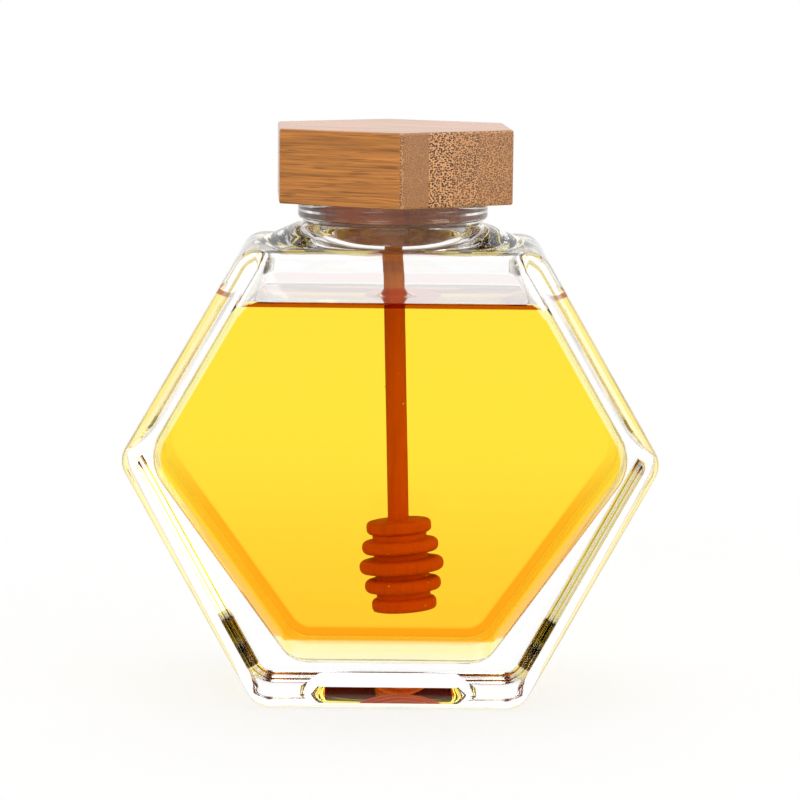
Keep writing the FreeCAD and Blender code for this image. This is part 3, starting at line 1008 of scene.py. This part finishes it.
# Waves in each metre of the dipper's wood, along X, Y and Z.
GRAIN_SCALES = (900.0, 900.0, 60.0)
FLECK_SCALES = (2600.0, 2600.0, 500.0)
# How far over the level the wood is soaked.
SOAK_RISE = 2.5 * MM


def dipper_finish(dipper):
    """Turned wood, dry over the honey and soaked under it."""
    finish = Finish("Turned beech")
    where = finish.split(finish.place())
    grain = finish.grain(where, GRAIN_SCALES, 3.0)
    flecks = finish.grain(where, FLECK_SCALES, 2.0)
    soaked = finish.fade(where[2], HONEY_HIGH.z + SOAK_RISE, HONEY_HIGH.z)
    plain = finish.blend(soaked, tuple(dipper.dry_colour), tuple(dipper.wet_colour))
    shade = finish.clamp(0.72 + 0.55 * grain * (0.75 + 0.5 * flecks))
    toned = finish.blend(1.0, plain, finish.grey(shade), "MULTIPLY")
    normal = finish.bump(grain + flecks * 0.5, 0.12 * MM)
    return finish.surface({
        "Base Color": toned, "Roughness": 0.6, "Normal": normal, "Specular IOR Level": 0.15,
    })


def bubble_recipe(dipper_piece, honey, material):
    """Small round bubbles that cling to the dipper under the honey's surface."""
    recipe = Recipe("Clinging bubbles", {
        "Bubbles": honey.bubble_count, "Largest": honey.bubble_radius,
        "Level": HONEY_HIGH.z - BUBBLE_DEPTH, "Air": material,
    })
    wood = recipe.add("GeometryNodeObjectInfo", None, {"Object": dipper_piece})
    z = recipe.split(recipe.wire("GeometryNodeInputPosition"))[2]
    under = recipe.wire("FunctionNodeCompare", {"operation": "LESS_THAN"}, {
        0: z, 1: recipe.given("Level"),
    })
    chance = recipe.wire("FunctionNodeRandomValue", {"data_type": "FLOAT"}, {"Seed": 7}, output=1)
    spots = recipe.wire("GeometryNodeDistributePointsOnFaces", {"distribute_method": "RANDOM"}, {
        "Mesh": Wire(recipe, wood.outputs["Geometry"]), "Selection": under,
        "Density": recipe.given("Bubbles") / BUBBLE_SKIN, "Seed": 4,
    })
    ball = recipe.wire("GeometryNodeMeshIcoSphere", None, {"Radius": 1.0, "Subdivisions": 3})
    size = recipe.given("Largest") * (0.3 + 0.7 * chance ** 2.0)
    many = recipe.wire("GeometryNodeInstanceOnPoints", None, {
        "Points": spots, "Instance": ball, "Scale": recipe.join(size, size, size),
    })
    recipe.finish(many, recipe.given("Air"))
    return recipe


def bubble_finish(honey):
    """Air inside honey, painted pale and mostly opaque as a painted glint, so that a small bubble
    shines white.
    """
    finish = Finish("Air bubble")
    return finish.surface({
        "Base Color": (1.0, 0.95, 0.85, 1.0), "Roughness": 0.1, "IOR": honey.index,
        "Transmission Weight": 0.3,
    }, lamps_pass=True)


class JAR_OT_bubbles(bpy.types.Operator):
    """Add the small bubbles that cling to the dipper"""

    bl_idname = "honeyjar.bubbles"
    bl_label = "Bubbles"

    def execute(self, context):
        honey = context.scene.jar_honey_settings
        air = bubble_finish(honey)
        piece = piece_from(bmesh.new(), "clinging_bubbles")
        bubble_recipe(bpy.data.objects["turned_dipper"], honey, air).run_on(piece)
        piece.data.shade_smooth()
        piece.data.materials.clear()
        piece.data.materials.append(air)
        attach(piece, "root")
        return {"FINISHED"}


class JAR_OT_dipper(bpy.types.Operator):
    """Turn the dipper: a stick and a head of discs"""

    bl_idname = "honeyjar.dipper"
    bl_label = "Dipper"

    def execute(self, context):
        dipper = context.scene.jar_dipper_settings
        wood = dipper_finish(dipper)
        piece = piece_from(bmesh.new(), "turned_dipper")
        dipper_recipe(dipper, wood).run_on(piece)
        smooth(piece, crease_degrees=42)
        adopt(piece, "dipper", "dipper_wood", wood)
        return {"FINISHED"}


# ---------------------------------------------------------------- lid and seal

# How strongly the fibre bundles stand out in each glued strip, from the front one back.
STRIP_CONTRASTS = (0.5, 0.12, 1.0, 0.7, 0.45, 0.35, 0.75, 0.2, 0.55, 0.35)
# From one fibre bundle to the next in the finest strip, and how much more in the coarsest, in mm.
BUNDLE_SPACING = 0.33
COARSE_SPACING = 0.19
# Waves in each metre of the bamboo, along, across and up the strips.
STREAK_SCALES = (50.0, 1100.0, 2200.0)
DASH_SCALES = (120.0, 1700.0, 3200.0)
SOFT_SCALES = (14.0, 160.0, 330.0)


def scaled(tone, level):
    """A colour made darker or lighter."""
    return tuple(min(1.0, part * level) for part in tone)


def bamboo_finish(lid):
    """Laminated bamboo: long fibres along the strips, dotted bundles across them, and painted shade
    on the plug.
    """
    finish = Finish("Laminated bamboo")
    turn = HALF_SIDE_TURN - lid.turn
    where = finish.split(finish.place(turn))
    along, across, up = where
    flat_half = lid.across_flats / 2
    strip = finish.maths("FLOOR", (across + (flat_half - lid.first_strip)) / lid.strip)
    facing = finish.split(finish.wire(
        "ShaderNodeMapping", {"vector_type": "NORMAL"},
        {"Vector": finish.facing(), "Rotation": (0, 0, turn)},
    ))
    end_grain = finish.fade(finish.maths("ABSOLUTE", facing[0]), 0.3, 0.7)
    # Strips differ in how large and how dark their fibre bundles are.
    place = (strip + 1.5) / len(STRIP_CONTRASTS)
    contrast = finish.wire("ShaderNodeValToRGB", {"stops": [
        (index / len(STRIP_CONTRASTS), value) for index, value in enumerate(STRIP_CONTRASTS)
    ]}, {"Fac": place})
    contrast.socket.node.color_ramp.interpolation = "CONSTANT"
    block = finish.fade(up, GLASS_HIGH.z - 0.3 * MM, GLASS_HIGH.z)
    contrast = contrast * (0.15 + 0.85 * block)
    spacing = (BUNDLE_SPACING + COARSE_SPACING * contrast) * MM
    cell = finish.join(along * 0.02 / MM, across / spacing, up / (spacing * 0.8))
    bundles = finish.wire("ShaderNodeTexVoronoi", {"voronoi_dimensions": "3D"}, {
        "Vector": cell, "Scale": 1.0, "Randomness": 0.8,
    })
    dots = 1.0 - finish.fade(bundles, 0.36, 0.54)
    streaks = finish.grain(where, STREAK_SCALES, 3.0)
    dashes = finish.grain(where, DASH_SCALES, 1.0)
    soft = finish.grain(where, SOFT_SCALES, 2.0)
    tone = finish.clamp(0.5 + (streaks - 0.5) * 2.6 + (soft - 0.5) * 1.0)
    dash = finish.fade(dashes, 0.55, 0.7) * 0.75
    side = finish.blend(tone, scaled(lid.side_colour, 0.8), scaled(lid.side_colour, 1.5))
    side = finish.blend(dash, side, scaled(lid.side_colour, 0.55))
    ground = finish.blend(contrast, tuple(lid.end_colour), tuple(lid.pale_colour))
    bundle = finish.blend(contrast, scaled(lid.end_colour, 0.75), tuple(lid.fibre_colour))
    fine = finish.blend(1.0, ground, finish.grey(0.85 + 0.3 * soft), "MULTIPLY")
    end = finish.blend(dots, fine, bundle)
    toned = finish.blend(end_grain, side, end)
    # Painted shade: the plug inside the neck, in the lid's shadow, is darkened and warmed, and
    # darkest under the seal.
    in_seal = finish.fade(up, SEAL_LOW.z - 0.3 * MM, SEAL_LOW.z)
    plug_painted_shade = finish.blend(in_seal, tuple(lid.plug_low_painted_shade), tuple(lid.plug_painted_shade))
    toned = finish.blend(block, finish.blend(1.0, toned, plug_painted_shade, "MULTIPLY"), toned)
    normal = finish.bump(streaks - dots * 0.4 * end_grain, 0.05 * MM)
    return finish.surface({
        "Base Color": toned, "Roughness": 0.4, "Normal": normal,
        "Coat Weight": 0.6, "Coat Roughness": 0.2,
    })


class JAR_OT_lid(bpy.types.Operator):
    """Make the bamboo block and its turned plug"""

    bl_idname = "honeyjar.lid"
    bl_label = "Lid"

    def execute(self, context):
        lid = context.scene.jar_lid_settings
        rim = GLASS_HIGH.z
        reach = lid.across_flats / 2 / math.cos(HALF_SIDE_TURN)
        corners = []
        for degrees in range(-90, 270, 60):
            turn = math.radians(degrees) + lid.turn
            corners.append((reach * math.cos(turn), reach * math.sin(turn)))
        loops = []
        for z, inset in rounded_rows(rim, LID_HIGH.z, lid.edge_break, 5):
            radii = [lid.edge_break * 1.2] * 6
            ring = outline(corners, radii, inset, arc_steps=6, side_steps=(1,) * 6)
            loops.append([(x, y, z) for x, y in ring])
        block = piece_from(skin(loops), "bamboo_block")
        plug, groove = lid.plug_radius, lid.groove_radius
        foot_round = 0.6 * MM
        profile = arc((plug - foot_round, LID_LOW.z + foot_round), foot_round, -90, 0, 5)
        profile += [
            (plug, SEAL_LOW.z), (groove, SEAL_LOW.z), (groove, SEAL_HIGH.z), (plug, SEAL_HIGH.z),
            (plug, rim + 2 * MM),
        ]
        combine(block, "UNION", piece_from(skin(ring_loops(profile, PLUG_STEPS)), "plug"))
        smooth(block, crease_degrees=40)
        adopt(block, "bamboo_lid", "bamboo", bamboo_finish(lid))
        return {"FINISHED"}


def seal_finish():
    """Clear soft silicone."""
    finish = Finish("Clear silicone")
    return finish.surface({
        "Base Color": (0.97, 0.80, 0.68, 1.0), "Roughness": 0.05, "IOR": 1.45,
        "Transmission Weight": 0.96, "Specular Tint": (0.0, 0.0, 0.0, 1.0),
    }, lamps_pass=True)


# How far the seal's ribs would swell if the glass didn't press them flat, in shares of the gap.
RIB_SWELL = 1.8


class JAR_OT_seal(bpy.types.Operator):
    """Make the seal ring with its two round ribs"""

    bl_idname = "honeyjar.seal"
    bl_label = "Seal"

    def execute(self, context):
        lid = context.scene.jar_lid_settings
        low, high = SEAL_LOW.z + SKIN_GAP, SEAL_HIGH.z - SKIN_GAP
        inner, outer = lid.groove_radius - 2 * SKIN_GAP, lid.plug_radius
        # The soft ribs are pressed flat against the glass.
        rib = SEAL_HIGH.x - outer + 2 * SKIN_GAP
        steps = 40
        profile = []
        for step in range(steps + 1):
            up = step / steps
            swell = min(1.0, RIB_SWELL * abs(math.sin(2 * math.pi * up)))
            profile.append((outer + rib * swell, low + (high - low) * up))
        profile += [(inner, high), (inner, low)]
        loops = ring_loops(profile, PLUG_STEPS)
        ring = piece_from(skin(loops, endless=True), "silicone_ring")
        smooth(ring, crease_degrees=60)
        adopt(ring, "seal_ring", "seal", seal_finish())
        return {"FINISHED"}


# ---------------------------------------------------------------- stage


# Each soft lamp's name, its place, what it points at, its side and its power in watts.
LAMPS = (
    ("key", (-0.55, -1.45, 0.72), (0.0, 0.0, 0.06), 0.9, 7.4),
    ("fill", (1.42, -0.5, 0.5), (0.0, 0.0, 0.06), 0.8, 5.8),
    ("top", (0.0, 0.2, 1.6), (0.0, 0.0, 0.1), 1.0, 9.0),
)
# The floor glows by itself: in part up to the first distance from the jar, wholly from the second.
GLOW_EDGE = (0.12, 0.4)
# How far towards the camera the floor turns dark in mirrors, and where it grows dim in glass.
FLOOR_MIRROR_EDGE = (0.03, 0.05)
FLOOR_GLASS_EDGE = (0.3, 0.6)
# The same for the room, by how much of a ray's direction points towards the camera.
ROOM_EDGE = (0.2, 0.5)


def lamp(name, place, target, side, watts):
    """A soft square lamp."""
    light = bpy.data.lights.new(name, "AREA")
    light.shape = "SQUARE"
    light.size = side
    light.energy = watts
    thing = bpy.data.objects.new(name, light)
    thing.location = place
    aim = Vector(target) - Vector(place)
    thing.rotation_euler = aim.to_track_quat("-Z", "Y").to_euler()
    bpy.context.scene.collection.objects.link(thing)


def seen_light(nodes):
    """How a ray came here: 1 for the camera's, for mirrored ones, for those through glass."""
    path = nodes.add("ShaderNodeLightPath")
    through = Wire(nodes, path.outputs["Is Transmission Ray"])
    mirrored = Wire(nodes, path.outputs["Is Glossy Ray"]) * (1.0 - through)
    return Wire(nodes, path.outputs["Is Camera Ray"]), mirrored, through


def floor_finish(stage):
    """A pale floor with the jar's soft shadow, darker in mirrors and glass towards the camera."""
    finish = Finish("Pale floor")
    x, y, z = finish.split(finish.place())
    camera, mirrored, through = seen_light(finish)
    away = finish.maths("SQRT", x * x + y * y)
    far = finish.fade(away, *GLOW_EDGE)
    paint = finish.wire("ShaderNodeBsdfDiffuse", None, {"Color": (*stage.floor_colour, 1.0)})
    in_front = finish.fade(-y, *FLOOR_MIRROR_EDGE)
    far_front = finish.fade(-y, *FLOOR_GLASS_EDGE) * (1.0 - stage.room_level)
    strength = camera + through * stage.glass_level * (1.0 - far_front)
    strength = strength + mirrored * (1.0 - in_front)
    glow = finish.wire("ShaderNodeEmission", None, {"Strength": strength})
    near_glow = 1.0 - stage.floor_shadow
    use_glow = finish.clamp(camera * (near_glow + far * (1.0 - near_glow)) + mirrored + through)
    mixed = finish.wire("ShaderNodeMixShader", None, {0: use_glow, 1: paint, 2: glow})
    finish.feed(finish.out.inputs["Surface"], mixed)
    return finish.material


def world_light(stage):
    """White to look at and plain soft light; towards the camera dark in mirrors, dim in glass."""
    world = bpy.data.worlds.new("Studio")
    bpy.context.scene.world = world
    world.use_nodes = True
    nodes = Nodes(world.node_tree)
    out = nodes.add("ShaderNodeOutputWorld")
    x, y, z = nodes.split(nodes.wire("ShaderNodeTexCoord", output=0))
    camera, mirrored, through = seen_light(nodes)
    in_front = nodes.fade(-y, *ROOM_EDGE)
    shade = (1.0 - stage.room_level) * in_front
    seen = camera + mirrored * (1.0 - in_front) + through * stage.glass_level * (1.0 - shade)
    plain = nodes.clamp(1.0 - camera - mirrored - through)
    sky = nodes.wire("ShaderNodeBackground", None, {
        "Color": (*WHITE, 1.0), "Strength": plain * stage.sky_level + seen,
    })
    nodes.feed(out.inputs["Surface"], sky)


class JAR_OT_stage(bpy.types.Operator):
    """Set up the floor, the light and the camera"""

    bl_idname = "honeyjar.stage"
    bl_label = "Stage"

    def execute(self, context):
        stage = context.scene.jar_stage_settings
        context.scene.view_settings.view_transform = "Standard"
        # Light turns back many times inside thick glass.
        context.scene.cycles.max_bounces = 14
        context.scene.cycles.transmission_bounces = 14
        context.scene.cycles.glossy_bounces = 8
        world_light(stage)
        form = bmesh.new()
        bmesh.ops.create_grid(form, x_segments=1, y_segments=1, size=6.0)
        bmesh.ops.translate(form, verts=form.verts, vec=(0, 0, -SKIN_GAP))
        floor = piece_from(form, "floor")
        floor.data.materials.append(floor_finish(stage))
        for settings in LAMPS:
            lamp(*settings)
        lens = bpy.data.cameras.new("view")
        lens.sensor_width = 36.0
        lens.lens = stage.lens
        lens.clip_start = 0.05
        lens.clip_end = 50.0
        camera = bpy.data.objects.new("view", lens)
        place = Matrix.Translation((0, -stage.camera_distance, stage.camera_height))
        turn = Matrix.Rotation(stage.camera_turn, 4, "Z")
        pitch = Matrix.Rotation(math.pi / 2 - stage.camera_pitch, 4, "X")
        roll = Matrix.Rotation(stage.camera_roll, 4, "Z")
        camera.matrix_world = place @ turn @ pitch @ roll
        context.scene.collection.objects.link(camera)
        context.scene.camera = camera
        return {"FINISHED"}


# ---------------------------------------------------------------- add-on


class JAR_PT_panel(bpy.types.Panel):
    """The steps that make the jar, in order"""

    bl_idname = "JAR_PT_panel"
    bl_label = "Honey jar"
    bl_space_type = "VIEW_3D"
    bl_region_type = "UI"
    bl_category = "Honey jar"

    def draw(self, context):
        for step in STEPS:
            self.layout.operator(step.bl_idname)


STEPS = (
    JAR_OT_stage, JAR_OT_glass, JAR_OT_honey, JAR_OT_dipper, JAR_OT_bubbles,
    JAR_OT_lid, JAR_OT_seal,
)


def register():
    """Make the settings, the steps and the panel known to Blender."""
    for group_name, group in GROUPS.items():
        bpy.utils.register_class(group)
        setattr(bpy.types.Scene, group_name, bpy.props.PointerProperty(type=group))
    for kind in STEPS + (JAR_PT_panel,):
        bpy.utils.register_class(kind)


def unregister():
    """Take the settings, the steps and the panel away again."""
    for kind in reversed(STEPS + (JAR_PT_panel,)):
        bpy.utils.unregister_class(kind)
    for group_name, group in reversed(GROUPS.items()):
        delattr(bpy.types.Scene, group_name)
        bpy.utils.unregister_class(group)


def main():
    """Make the whole scene."""
    register()
    for step in STEPS:
        family, name = step.bl_idname.split(".")
        getattr(getattr(bpy.ops, family), name)()


if __name__ == "__main__":
    main()
